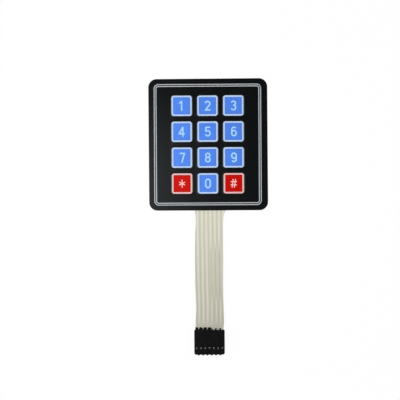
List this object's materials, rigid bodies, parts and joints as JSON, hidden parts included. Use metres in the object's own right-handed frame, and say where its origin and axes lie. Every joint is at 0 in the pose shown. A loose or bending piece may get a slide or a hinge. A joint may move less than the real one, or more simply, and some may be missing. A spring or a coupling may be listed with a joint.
{
  "type": "membrane keypad",
  "caption": "Thin stick-on membrane keypad: black printed front film with framed blue and red keys, a flat film tail and a socket that plugs onto a pin header.",
  "frame": {"origin": "middle of the pad's back, on the release liner", "axes": "+Z out of the printed front, +Y towards the pad's top edge, so the tail runs towards -Y"},
  "size_m": [0.0706, 0.1642, 0.0025],
  "materials": {
    "overlay_film": "fine textured satin black",
    "border_ink": "grey print under satin film",
    "frame_ink": "pale print under satin film",
    "blue_ink": "blue print under satin film",
    "red_ink": "red print under satin film",
    "adhesive": "clear tacky glue",
    "circuit_film": "milky polyester",
    "spacer_film": "milky polyester",
    "silver_ink": "matt silver ink",
    "carbon_ink": "matt black carbon ink",
    "liner_paper": "smooth coated paper",
    "housing_plastic": "moulded black, slightly glossy",
    "contact_metal": "tin plated"
  },
  "bodies": {
    "root": {"graphic_overlay": "overlay_film", "border_lines": "border_ink", "key_frames": "frame_ink", "blue_key_faces": "blue_ink", "red_key_faces": "red_ink", "overlay_adhesive": "adhesive", "upper_circuit_film": "circuit_film", "column_tracks": "silver_ink", "spacer": "spacer_film", "row_tracks": "silver_ink", "lower_circuit_film": "circuit_film", "carbon_tips": "carbon_ink", "rear_adhesive": "adhesive", "release_liner": "liner_paper", "connector_housing": "housing_plastic", "contact_1": "contact_metal", "contact_2": "contact_metal", "contact_3": "contact_metal", "contact_4": "contact_metal", "contact_5": "contact_metal", "contact_6": "contact_metal", "contact_7": "contact_metal"}
  },
  "joints": []
}
